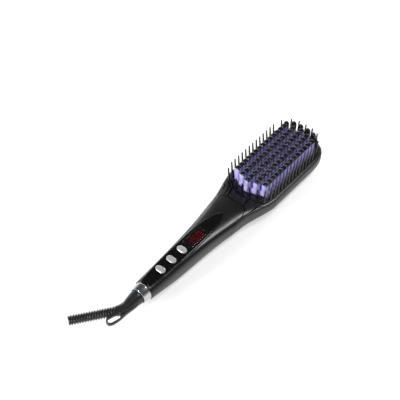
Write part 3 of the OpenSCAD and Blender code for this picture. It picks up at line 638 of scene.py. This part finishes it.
rows_tree, gin, gout, rows_ids = new_tree("pieces_on_seats", [
    ("Geometry", "NodeSocketGeometry"), ("Piece", "NodeSocketObject"), ("Lean", "NodeSocketFloat"),
    ("Material", "NodeSocketMaterial")])
turn = add(rows_tree, "GeometryNodeInputNamedAttribute", {"data_type": "FLOAT"}, Name="turn")
euler = add(rows_tree, "ShaderNodeCombineXYZ", i1=gin.outputs["Lean"], i2=turn.outputs["Attribute"])
facing = add(rows_tree, "FunctionNodeEulerToRotation", i0=euler.outputs[0])
piece = add(rows_tree, "GeometryNodeObjectInfo", i0=gin.outputs["Piece"])
stood = add(rows_tree, "GeometryNodeInstanceOnPoints", Points=gin.outputs["Geometry"],
            Instance=piece.outputs["Geometry"], Rotation=facing.outputs[0])
real = add(rows_tree, "GeometryNodeRealizeInstances", i0=stood.outputs[0])
painted = add(rows_tree, "GeometryNodeSetMaterial", Geometry=real.outputs[0],
              Material=gin.outputs["Material"])
rows_tree.links.new(painted.outputs[0], gout.inputs[0])


def in_rows(name, seats, piece_object, material, lean=0.0, smooth=35):
    """seats are x, y, z and turn, in millimetres and degrees; the result is one plain mesh."""
    mesh = bpy.data.meshes.new(name)
    mesh.from_pydata([Vector(s[:3]) * MM for s in seats], [], [])
    turns = mesh.attributes.new("turn", "FLOAT", "POINT")
    turns.data.foreach_set("value", [math.radians(s[3]) for s in seats])
    ob = bpy.data.objects.new(name, mesh)
    bpy.context.scene.collection.objects.link(ob)
    mod = ob.modifiers.new("rows", "NODES")
    mod.node_group = rows_tree
    for title, value in (("Piece", piece_object), ("Lean", math.radians(lean)), ("Material", material)):
        mod[rows_ids[title]] = value
    plain = made_plain(ob, smooth)
    bpy.data.objects.remove(piece_object)
    print(name, len(seats), "pieces,", len(plain.polygons), "faces")
    return ob


# %% [markdown]
# ## Finishes
# Every finish starts from a real material. Its colours are written as sRGB hex and turned to linear,
# its grain is sized in millimetres on Object coordinates, and roughness and relief vary a little, as
# they do on handled plastic. Patterns finer than about a tenth of a millimetre can't show at this
# distance and are drawn coarser.


# %% Finish helpers
def colour(code):
    parts = [int(code[i:i + 2], 16) / 255 for i in (0, 2, 4)]
    return tuple(c / 12.92 if c <= 0.04045 else ((c + 0.055) / 1.055) ** 2.4 for c in parts) + (1.0,)


def finish(name, light, dark, rough, spread_rough=0.04, grain=0.6, relief=0.0, cloud=14.0, **shader):
    """Cloudy colour between two values, roughness that varies with it, and a fine grain as relief."""
    mat = bpy.data.materials.new(name)
    mat.use_nodes = True
    tree = mat.node_tree
    bsdf = tree.nodes["Principled BSDF"]
    for key, value in shader.items():
        bsdf.inputs[key.replace("_", " ")].default_value = value
    at = add(tree, "ShaderNodeTexCoord").outputs["Object"]
    wide = add(tree, "ShaderNodeMapping", Vector=at, Scale=(1000 / cloud,) * 3)
    fine = add(tree, "ShaderNodeMapping", Vector=at, Scale=(1000 / grain,) * 3)
    clouds = add(tree, "ShaderNodeTexNoise", Vector=wide.outputs[0], Scale=1.0, Detail=3.0)
    grains = add(tree, "ShaderNodeTexNoise", Vector=fine.outputs[0], Scale=1.0, Detail=2.0)
    ramp = add(tree, "ShaderNodeMix", {"data_type": "RGBA"}, i0=clouds.outputs[0],
               i6=colour(dark), i7=colour(light))
    tree.links.new(ramp.outputs[2], bsdf.inputs["Base Color"])
    both = add(tree, "ShaderNodeMath", {"operation": "ADD"}, i0=clouds.outputs[0], i1=grains.outputs[0])
    rr = add(tree, "ShaderNodeMapRange", i0=both.outputs[0], i1=0.7, i2=1.3,
             i3=rough - spread_rough, i4=rough + spread_rough)
    tree.links.new(rr.outputs[0], bsdf.inputs["Roughness"])
    if relief:
        bump = add(tree, "ShaderNodeBump", Strength=relief, Distance=grain * MM * 0.2,
                   Height=grains.outputs[0])
        tree.links.new(bump.outputs[0], bsdf.inputs["Normal"])
    return mat


# %% [markdown]
# ### Plastics
# The handle and deck are polished ABS: nearly black, IOR 1.53, smooth but not a mirror, so they show
# the lamps as soft bands. The lower half is the same resin from a lightly textured mould. Pins are
# nylon. Caps are phenolic resin, which takes the heat and comes smooth from its mould, so a thin light
# line runs round the far edge of each dome. The inlay is acrylic, the smoothest black of all.

# %% Plastics
gloss_black = finish("polished_abs_black", "161616", "101010", 0.31, 0.03, 0.5, 0.02, IOR=1.53)
frame_black = finish("satin_abs_black", "1a1a1a", "141414", 0.34, 0.04, 0.5, 0.04, IOR=1.53)
lower_black = finish("textured_abs_black", "2a2a2a", "222222", 0.4, 0.05, 0.5, 0.08, IOR=1.53)
pin_nylon = finish("nylon_black", "101011", "0a0a0b", 0.26, 0.05, 0.4, 0.03, IOR=1.53)
cap_resin = finish("phenolic_black", "0f0f0f", "080808", 0.18, 0.04, 0.4, 0.03, IOR=1.6)
panel_gloss = finish("acrylic_black", "0e0e0f", "0a0a0b", 0.1, 0.02, 0.6, 0.0, IOR=1.49)
silver_key = finish("vacuum_plated_abs", "dadada", "cccccc", 0.3, 0.04, 0.3, 0.03, Metallic=0.35, IOR=1.53)
for ob, mat in ((handle, gloss_black), (deck, frame_black), (tray, lower_black), (panel, panel_gloss)):
    ob.data.materials.append(mat)
for key in ("button_power", "button_down", "button_up"):
    bpy.data.objects[key + "_cap"].data.materials.append(silver_key)

# %% [markdown]
# ### Metals, window and light
# The comb is anodised aluminium: the oxide layer scatters most of the light and its dye gives the
# violet, so the shader is only partly metallic. The collar is chrome plate on a softly brushed band.
# The window is smoked acrylic that lets the red bars through.

# %% Metals, window and light
violet = finish("anodised_aluminium_violet", "bcb4ea", "aca3e0", 0.42, 0.05, 0.25, 0.05, 9.0, Metallic=0.3)
chrome = finish("chrome_plate", "c8cacc", "b9bbbe", 0.22, 0.03, 0.5, 0.0, Metallic=1.0)
smoked = finish("smoked_acrylic", "4a3436", "3c2a2c", 0.06, 0.02, 0.6, 0.0, IOR=1.49, Transmission_Weight=0.9)
led_red = finish("red_light_bars", "ff2a2a", "e01818", 0.4, 0.05, 0.6, 0.0,
                 Emission_Color=colour("ff1a1a"), Emission_Strength=4.0)
window_plate.data.materials.append(smoked)
numerals.data.materials.append(led_red)

# %% [markdown]
# ## Guard pins and tip teeth
# Thin pins keep the skin off the hot comb. Each has a flared foot, tapers to a rounded tip and leans
# outwards. It is turned from a short profile. Six solid teeth close the field at the tip;
# they and the ring are one moulding.


# %% Pins and ring
def turned(name, profile, n, smooth=40):
    """A closed solid turned about Z from a profile of radius and height."""
    loops = [[Vector((x, y, z)) for x, y in circle(r, n)] for r, z in profile]
    return solid_loft(name, loops, smooth=smooth)


RING_LOW, RING_TOP = 19.2, 21.8
PIN_TOP, PIN_R, TIP_R = 18.9, 1.15, 0.75
neck = PIN_TOP - TIP_R
pin_profile = [(1.45, -0.4), (1.45, 0.42), (1.32, 0.66), (PIN_R, 0.9)]
pin_profile += [(mix(PIN_R, TIP_R, t), mix(0.9, neck, t)) for t in (0.33, 0.66, 1)]
pin_profile += [(TIP_R * math.cos(math.radians(a)), neck + TIP_R * math.sin(math.radians(a)))
                for a in (25, 50, 72, 86)]
pin = turned("one_pin", pin_profile, 16)


def arc_x(y, o):
    return X_TIPC + (TIP_L - o) * (1 - (abs(y) / (30 - o)) ** 3) ** (1 / 3)


def both_sides(y):
    return (1,) if y == 0 else (-1, 1)


PIN_PITCH = 5.8
rows_x = [X_COMB + (i - 0.5) * PIN_PITCH for i in range(13)]
seats = [(x, s * (side_w(x) - 4.9), RING_TOP, s * 90) for x in rows_x for s in (-1, 1)]
for y in (0, 8.2, 16.2, 22.6):
    seats += [(RING_FRONT + 2.5 + BOW * y * y, s * y, RING_TOP, 180 - s * y * 2.6) for s in both_sides(y)]
for y in (0, 8.2, 16, 22.5):
    seats += [(arc_x(y, 5.6), s * y, RING_TOP, s * y * 2.2) for s in both_sides(y)]
pins = in_rows("guard_pins", seats, pin, pin_nylon, lean=4)

tooth_rows = [[Vector((x, y, 0)) for x, y in soft_box(0, 0, 3.2, 5.8, 1.2, n=4)]]
for t in range(0, 91, 9):
    arch, edge = math.cos(math.radians(t)), 1.6 - 0.35 * (1 - math.cos(math.radians(max(0, t - 30) * 1.5)))
    half = max(0.25, 2.9 * arch)
    tooth_rows.append([Vector((x, y, 14.7 + 3 * math.sin(math.radians(t)) - 0.12 * (t > 80)))
                       for x, y in soft_box(0, 0, 2 * edge, 2 * half, min(1.2, half * 0.9), n=4)])
tip_tooth = solid_loft("one_tip_tooth", tooth_rows, smooth=50)
tip_seats = [(x, s * y, 21.3, s * a) for x, y, a in ((arc_x(4.5, 6.9), 4.5, 0), (arc_x(12.7, 6.7), 12.7, 18),
                                                       (arc_x(18.9, 7.3) + 0.6, 18.9, 38)) for s in (-1, 1)]
tip_teeth = in_rows("tip_teeth", tip_seats, tip_tooth, pin_nylon, smooth=50)

ring = plate("pin_ring_plate", lambda o: ring_plan(3.1 - o), RING_LOW, RING_TOP, 0.3)
cut(ring, solid_loft("comb_cut", lip(lambda o: base_plan(2.4 + o, 0.5 + o), 0.3, 18, top=flat_top(RING_TOP))))
ring.data.materials.append(pin_nylon)
for ob in (pins, tip_teeth, ring):
    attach(ob, "brush")
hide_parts("pin_ring")
print("seats of pins", len(seats))

# %% [markdown]
# ## Comb and caps
# The comb is one extruded and cut block of aluminium: a base with stepped ends and five staggered
# columns of teeth, each flat across the front and rounded at the back. The seats follow a rule, so
# they are worked out by column. Each tooth has a fine broken edge, because a sawn one would catch hair.


# %% Comb and caps
def tooth_plan(inset, n=7):
    """Outline of a tooth: flat across its front, round at its back, inset on all sides."""
    front, r = -REACH + inset, TOOTH_W / 2 - inset
    pts = [(front + 0.3, -r)]
    for i in range(2 * n + 1):
        a = math.pi * (i / (2 * n) - 0.5)
        pts.append((BACK - TOOTH_W / 2 + r * math.cos(a), r * math.sin(a)))
    return pts + [(front + 0.3, r), (front + 0.09, r - 0.09), (front, r - 0.3), (front, 0.3 - r),
                  (front + 0.09, 0.09 - r)]


def level(plan, z, dome=None):
    return [Vector((x, y, dome(x, y) if dome else z)) for x, y in plan]


BASE_TOP, TOOTH_TOP, CAP_TOP = 26.7, 37.1, 39.0
tooth_steps = [(0, BASE_TOP - 0.3), (0, BASE_TOP + 0.5), (0, TOOTH_TOP - 0.25), (0.07, TOOTH_TOP - 0.06),
               (0.2, TOOTH_TOP)]
metal_tooth = solid_loft("one_tooth", [level(tooth_plan(inset), z) for inset, z in tooth_steps])
MIDDLE = (BACK - REACH) / 2


def cap_dome(x, y):
    """The lower of two arches, radius 8 mm along the brush and 10 mm across it."""
    return CAP_TOP - max(8 - math.sqrt(64 - (x - MIDDLE) ** 2), 10 - math.sqrt(100 - y * y))


cap_loops = [level(tooth_plan(0.3), TOOTH_TOP - 0.05)]
cap_loops += [[Vector((x, y, cap_dome(x, y) - d)) for x, y in tooth_plan(i)]
              for i, d in ((0.3, 0.35), (0.36, 0.12), (0.52, 0.0), (0.9, 0), (1.4, 0), (1.9, 0))]
one_cap = solid_loft("one_cap", cap_loops, smooth=45)
columns = [(X_COMB + (i - 1 + abs(c) / 2) * PITCH, c * COLUMN, 0, 0)
           for c in range(-2, 3) for i in range(16 - abs(c))]
comb_teeth = in_rows("comb_teeth", columns, metal_tooth, violet)
caps = in_rows("tooth_cap_row", columns, one_cap, cap_resin, smooth=45)
base = plate("comb_base", lambda o: base_plan(o, o), RING_LOW, BASE_TOP, 0.3)
cut(base, prism("hollow_cut", base_plan(-1.8, -1.8), 18, 23.5))
base.data.materials.append(violet)
for ob, slot in ((comb_teeth, "violet_anodised_aluminium"), (base, "violet_anodised_aluminium"),
                 (caps, "cap_plastic")):
    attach(ob, "brush")
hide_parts("heating_comb")
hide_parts("tooth_caps")
print("metal teeth", len(columns))

# %% [markdown]
# ## Collar and cord boot
# The collar is turned and chromed. The boot is one rubber moulding: a barrel that turns in the collar,
# a bend, a ribbed tail that keeps the cord from kinking, and a loop to hang the brush by. Barrel and
# bend are one swept skin; the ribs are set along the tail by a tree with a count and a pitch.


# %% Collar
COLLAR_X = X_END - 8.7
collar_profile = [(4.9, 5.2), (7.7, 5.2), (7.7, 0.55), (7.78, 0.25), (7.95, 0.08), (8.15, 0.0), (8.4, 0.0),
                  (8.62, 0.07), (8.8, 0.25), (8.9, 0.55), (9.35, 4.4), (9.78, 8.1), (9.77, 8.42),
                  (9.66, 8.62), (9.5, 8.7), (6.4, 8.7), (6.4, 7.7), (4.9, 7.7)]
collar = tube("collar_band", [[Vector((COLLAR_X + h, y, AXIS + z)) for y, z in circle(r, 96)]
                              for r, h in collar_profile])
collar.data.materials.append(chrome)
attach(collar, "brush"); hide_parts("collar_ring")

# %% Boot's barrel, bend and tail
BEND_X, BEND_R, BEND = COLLAR_X - 13.3, 20.0, math.radians(36)
rubber = finish("moulded_rubber_dark", "2a2a2c", "202022", 0.3, 0.05, 0.5, 0.12, IOR=1.52)


def boot_path(s):
    """Point and direction at distance s past the barrel: a bend, then straight on."""
    if s <= 0:
        return Vector((BEND_X - s, 0, AXIS)), Vector((-1, 0, 0))
    a = min(s / BEND_R, BEND)
    p = Vector((BEND_X - BEND_R * math.sin(a), BEND_R * (1 - math.cos(a)), AXIS))
    d = Vector((-math.cos(a), math.sin(a), 0))
    return p + d * (s - a * BEND_R), d


def swept(name, stations, bores, n=64):
    """A tube along the boot's path; stations and bores are distance and radius, outside and inside."""
    loops = []
    for s, r in stations + bores[::-1]:
        p, d = boot_path(s)
        side = Vector((-d.y, d.x, 0))
        loops.append([p + side * u + Vector((0, 0, v)) for u, v in circle(r, n)])
    return tube(name, loops)


TAIL = BEND_R * BEND
outside = [(-19, 4.6), (-18.2, 4.6), (-18.2, 7.0), (-17.8, 7.3), (-17.4, 7.4), (-10.3, 7.4), (-8.8, 7.25),
           (-7.3, 6.95), (-5, 6.6), (-2.6, 6.3), (-1, 6.0), (0, 5.8)]
outside += [(TAIL * t, mix(5.6, 5.2, t)) for t in (0.15, 0.3, 0.45, 0.6, 0.75, 0.9, 1)]
outside += [(TAIL + s, r) for s, r in ((1.0, 5.05), (1.2, 4.7), (1.25, 3.8), (44.0, 3.8), (44.4, 4.6),
                                       (44.7, 4.75), (45.4, 4.4), (45.9, 4.1), (46.0, 3.85))]
bore = [(-19, 3.2), (0, 3.2)] + [(TAIL * t, 3.1) for t in (0.25, 0.5, 0.75, 1)]
bore += [(TAIL + 45.7, 3.0), (TAIL + 46.0, 3.25)]
barrel = swept("boot_barrel", outside, bore)
barrel.data.materials.append(rubber)

# %% Ribs of the tail
rib_tree, rin, rout, rib_ids = new_tree("ribs_along_a_line", [
    ("Geometry", "NodeSocketGeometry"), ("Ribs", "NodeSocketInt"), ("Pitch", "NodeSocketFloat"),
    ("Start", "NodeSocketVector"), ("Direction", "NodeSocketVector"), ("Material", "NodeSocketMaterial")])
index = add(rib_tree, "GeometryNodeInputIndex")
step = add(rib_tree, "ShaderNodeMath", {"operation": "MULTIPLY"}, i0=index.outputs[0],
           i1=rin.outputs["Pitch"])
out = add(rib_tree, "ShaderNodeVectorMath", {"operation": "SCALE"}, i0=rin.outputs["Direction"],
          Scale=step.outputs[0])
place = add(rib_tree, "ShaderNodeVectorMath", {"operation": "ADD"}, i0=out.outputs[0],
            i1=rin.outputs["Start"])
line = add(rib_tree, "GeometryNodePoints", Count=rin.outputs["Ribs"], Position=place.outputs[0])
set_on = add(rib_tree, "GeometryNodeInstanceOnPoints", Points=line.outputs[0],
             Instance=rin.outputs["Geometry"])
real = add(rib_tree, "GeometryNodeRealizeInstances", i0=set_on.outputs[0])
painted = add(rib_tree, "GeometryNodeSetMaterial", Geometry=real.outputs[0],
              Material=rin.outputs["Material"])
rib_tree.links.new(painted.outputs[0], rout.inputs[0])

tail_at, tail_dir = boot_path(TAIL)
side = Vector((-tail_dir.y, tail_dir.x, 0))
rib_profile = [(3.6, 0), (4.8, 0.0), (5.0, 0.12), (5.1, 0.4), (5.1, 1.0), (5.0, 1.28), (4.8, 1.4), (3.6, 1.4)]
ribs = tube("boot_ribs", [[side * u + Vector((0, 0, v)) + tail_dir * h for u, v in circle(r, 56)]
                          for r, h in rib_profile])
mod = ribs.modifiers.new("ribs", "NODES")
mod.node_group = rib_tree
for title, value in (("Ribs", 17), ("Pitch", 2.5 * MM), ("Start", (tail_at + tail_dir * 2) * MM),
                     ("Direction", tail_dir), ("Material", rubber)):
    mod[rib_ids[title]] = value
print("ribs", len(made_plain(ribs, 40).polygons), "faces")

# %% [markdown]
# The hanging loop is a flat web beside the bend with a long eye in it. Its edges are rounded the way a
# soft moulding's are, so it is lofted through its thickness, a little smaller at both faces.

# %% Hanging loop
C1, C2 = (BEND_X - 16.5, -1.4), (BEND_X - 23.8, 0.6)
web = [(COLLAR_X - 4, 0), (COLLAR_X - 4, -7.1), (BEND_X + 2, -7.0), (BEND_X - 8, -5.6), (C1[0], C1[1] - 4.3),
       (C2[0] - 1, C2[1] - 4.8), (C2[0] - 4.1, C2[1] - 2.8), (C2[0] - 4.9, C2[1]), (C2[0] - 4, C2[1] + 2.8),
       (C2[0] + 3, C2[1] + 7), (BEND_X - 12, 3), (BEND_X, 0)]


def web_plan(o):
    pts = rounded(web, 3)
    out = []
    for i, p in enumerate(pts):
        d = Vector(pts[(i + 1) % len(pts)]) - Vector(pts[i - 1])
        out.append((p[0] + o * -d.y / d.length, p[1] + o * d.x / d.length))
    return out


area = sum(p[0] * q[1] - q[0] * p[1] for p, q in zip(web, web[1:] + web[:1]))
inside = 1 if area > 0 else -1
web_loops = []
for t in (-90, -60, -30, 0, 30, 60, 90):
    c, s = 1 - math.cos(math.radians(t)), math.sin(math.radians(t))
    z = AXIS + (1.2 + abs(s)) * (1 if t > 0 else -1) if t else AXIS
    web_loops.append([Vector((x, y, z)) for x, y in web_plan(inside * c)])
loop_web = solid_loft("boot_loop", web_loops, smooth=50)


def eye_plan(o):
    length, a = math.hypot(C2[0] - C1[0], C2[1] - C1[1]), math.atan2(C2[1] - C1[1], C2[0] - C1[0])
    return oval((C1[0] + C2[0]) / 2, (C1[1] + C2[1]) / 2, length + EYE_W, EYE_W, o, a)


EYE_W = 5.6
flare = [(0.9, 6), (0.9, 2.22), (0.45, 1.95), (0.12, 1.5), (0, 0.9)]
eye = [[Vector((x, y, AXIS + z)) for x, y in eye_plan(o)]
       for o, z in [(o, -z) for o, z in flare] + flare[::-1]]
cut(loop_web, solid_loft("eye_cut", eye), smooth=50)
loop_web.data.materials.append(rubber)
for ob in (barrel, ribs, loop_web):
    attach(ob, "boot")
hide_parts("swivel_boot")

# %% [markdown]
# ## Screws under the brush
# Six cross-recess screws close the case from below. Each head is turned with a small crown, the cross
# is cut in, and the same tree that stands the pins sets the six heads in their wells, upside down.

# %% Case screws
steel = finish("zinc_plated_steel", "b4b6b8", "a2a4a8", 0.32, 0.06, 0.3, 0.04, Metallic=1.0)
head = turned("one_screw", [(1.2, 13.0), (1.25, 12.7), (1.25, 0.1), (2.6, 0.0), (2.75, -0.2), (2.75, -1.2),
                            (2.5, -1.55), (2.0, -1.72), (1.0, -1.8)], 40)
for q in (0, 1):
    wing = [[Vector((x, y, z) if q == 0 else (y, x, z))
             for x, y in soft_box(0, 0, 3.0 * f, 0.62 * f, 0.15, n=2)] for f, z in ((0.55, -0.5), (1.0, -2.5))]
    cut(head, solid_loft("cross_cut", wing))
screws = in_rows("case_screw_heads", [(x, y, 3.2, 25 * i) for i, (x, y) in enumerate(SCREWS)], head, steel)
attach(screws, "brush"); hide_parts("case_screws")

# %% [markdown]
# ## Pieces inside
# The parts inside can only be glimpsed through the slots and the window, so the CAD solids stay and
# only take their finishes: alumina heaters, mica, spring steel, glass, circuit board and so on.

# %% Inner finishes
inner = {
    "comb_carrier": finish("glass_filled_resin", "56524a", "48443e", 0.5, 0.06, 0.5, 0.1),
    "ceramic_heaters": finish("sintered_alumina", "ece9e0", "dedacf", 0.55, 0.05, 0.3, 0.1),
    "mica_sheet": finish("mica_sheet_brown", "c2ae80", "a08a5e", 0.35, 0.08, 1.2, 0.05, 5.0),
    "heater_clamp": steel, "board_screws": steel, "ion_needles": steel,
    "thermistor": finish("glass_bead_green", "35684a", "2a5238", 0.12, 0.03, 0.5, 0.0, IOR=1.52),
    "thermal_fuse": finish("tinned_copper_case", "c8c8c2", "b2b2ac", 0.3, 0.05, 0.3, 0.03, Metallic=1.0),
    "display_module": finish("polycarbonate_black", "242426", "1a1a1c", 0.4, 0.05, 0.5, 0.05),
    "main_board": finish("solder_mask_green", "236340", "1a4f31", 0.3, 0.06, 1.4, 0.06, 4.0),
    "power_capacitor": finish("pvc_sleeve_blue", "44569a", "384a84", 0.3, 0.05, 0.5, 0.03),
    "relay": finish("pbt_case_ivory", "dcd8cc", "ccc8bc", 0.45, 0.05, 0.4, 0.05),
    "tact_switches": finish("phenolic_dark", "303030", "262626", 0.5, 0.05, 0.4, 0.06),
    "ion_generator": finish("epoxy_potting_dark", "32323a", "282830", 0.3, 0.05, 1.0, 0.04),
    "heater_leads": finish("silicone_sleeve_red", "b83434", "a02a2a", 0.5, 0.05, 0.4, 0.05),
    "supply_leads": finish("pvc_sleeve_navy", "384868", "2c3a56", 0.42, 0.05, 0.4, 0.05),
    "swivel_pin": finish("turned_brass", "b8934c", "a8843f", 0.28, 0.06, 0.3, 0.05, 8.0, Metallic=1.0),
    "swivel_socket": finish("nylon_natural", "dcd7c8", "cdc8b8", 0.5, 0.05, 0.4, 0.05),
}
for key in ("plunger_power", "plunger_up", "plunger_down"):
    inner[key] = inner["swivel_socket"]
for name, mat in inner.items():
    nodes[name].data.materials.clear()
    nodes[name].data.materials.append(mat)
print("inner pieces finished", len(inner))

# %% [markdown]
# ## Floor, lamps and world
# A product photograph on white: a pale floor that keeps a soft shadow, a low key lamp from the cord's
# end that lights the fronts of the teeth, a small box above that draws the band along the handle, a
# long card behind, and a surround that is pale only near the horizon, so that black plastic stays
# black on top. The floor's colour, not extra light, makes it white to the camera.

# %% Floor
size = 3.0
floor = mesh_object("floor", [(-size, -size, 0), (size, -size, 0), (size, size, 0), (-size, size, 0)],
                    [(0, 1, 2, 3)], scale=1.0)
floor.location.z = -0.0002
floor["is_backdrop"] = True
paper = bpy.data.materials.new("white_paper")
paper.use_nodes = True
tree = paper.node_tree
bsdf = tree.nodes["Principled BSDF"]
bsdf.inputs["Base Color"].default_value = (0.93, 0.93, 0.93, 1)
bsdf.inputs["Roughness"].default_value = 0.9
bsdf.inputs["Specular IOR Level"].default_value = 0.0
rays = add(tree, "ShaderNodeLightPath")
seen = add(tree, "ShaderNodeMath", {"operation": "MAXIMUM"}, i0=rays.outputs["Is Camera Ray"],
           i1=rays.outputs["Is Glossy Ray"])
seen = add(tree, "ShaderNodeMath", {"operation": "MAXIMUM"}, i0=seen.outputs[0],
           i1=rays.outputs["Is Transmission Ray"])
lift = add(tree, "ShaderNodeMath", {"operation": "MULTIPLY"}, i0=seen.outputs[0], i1=0.55)
glow = add(tree, "ShaderNodeEmission", Color=(1, 1, 1, 1), Strength=lift.outputs[0])
both = add(tree, "ShaderNodeAddShader", i0=bsdf.outputs[0], i1=glow.outputs[0])
tree.links.new(both.outputs[0], tree.nodes["Material Output"].inputs["Surface"])
floor.data.materials.append(paper)


# %% Lamps and world
def soft_light(name, at, aim, size, size_y, watts):
    data = bpy.data.lights.new(name, "AREA")
    data.shape, data.size, data.size_y, data.energy = "RECTANGLE", size, size_y, watts
    ob = bpy.data.objects.new(name, data)
    bpy.context.scene.collection.objects.link(ob)
    ob.location = at
    ob.rotation_euler = (Vector(aim) - Vector(at)).to_track_quat("-Z", "Y").to_euler()
    return ob


soft_light("low_key", (-1.45, 0.4, 0.32), (-0.02, 0, 0.03), 0.36, 0.18, 27)
soft_light("band_box", (0.46, -0.3, 1.08), (-0.1, 0, 0.02), 0.3, 0.14, 5)
soft_light("back_card", (1.6, 1.15, 0.42), (-0.05, 0, 0.02), 2.4, 0.45, 26)
world = bpy.data.worlds.new("white_room")
bpy.context.scene.world = world
world.use_nodes = True
tree = world.node_tree
back = tree.nodes["Background"]
back.inputs["Color"].default_value = (1, 1, 1, 1)
rays = add(tree, "ShaderNodeLightPath")
up = add(tree, "ShaderNodeSeparateXYZ", i0=add(tree, "ShaderNodeTexCoord").outputs["Generated"])
room = add(tree, "ShaderNodeMapRange", {"interpolation_type": "SMOOTHSTEP"}, i0=up.outputs[2],
           i1=0.02, i2=0.5, i3=0.9, i4=0.1)
seen = add(tree, "ShaderNodeMix", i0=rays.outputs["Is Camera Ray"], i2=room.outputs[0], i3=1.0)
tree.links.new(seen.outputs[0], back.inputs["Strength"])
bpy.context.scene.view_settings.view_transform = "Standard"

# %% Finish
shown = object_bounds()
for title, box in (("CAD", cad_box), ("dressed", shown)):
    print(title, [tuple(round(c, 4) for c in v) for v in box])
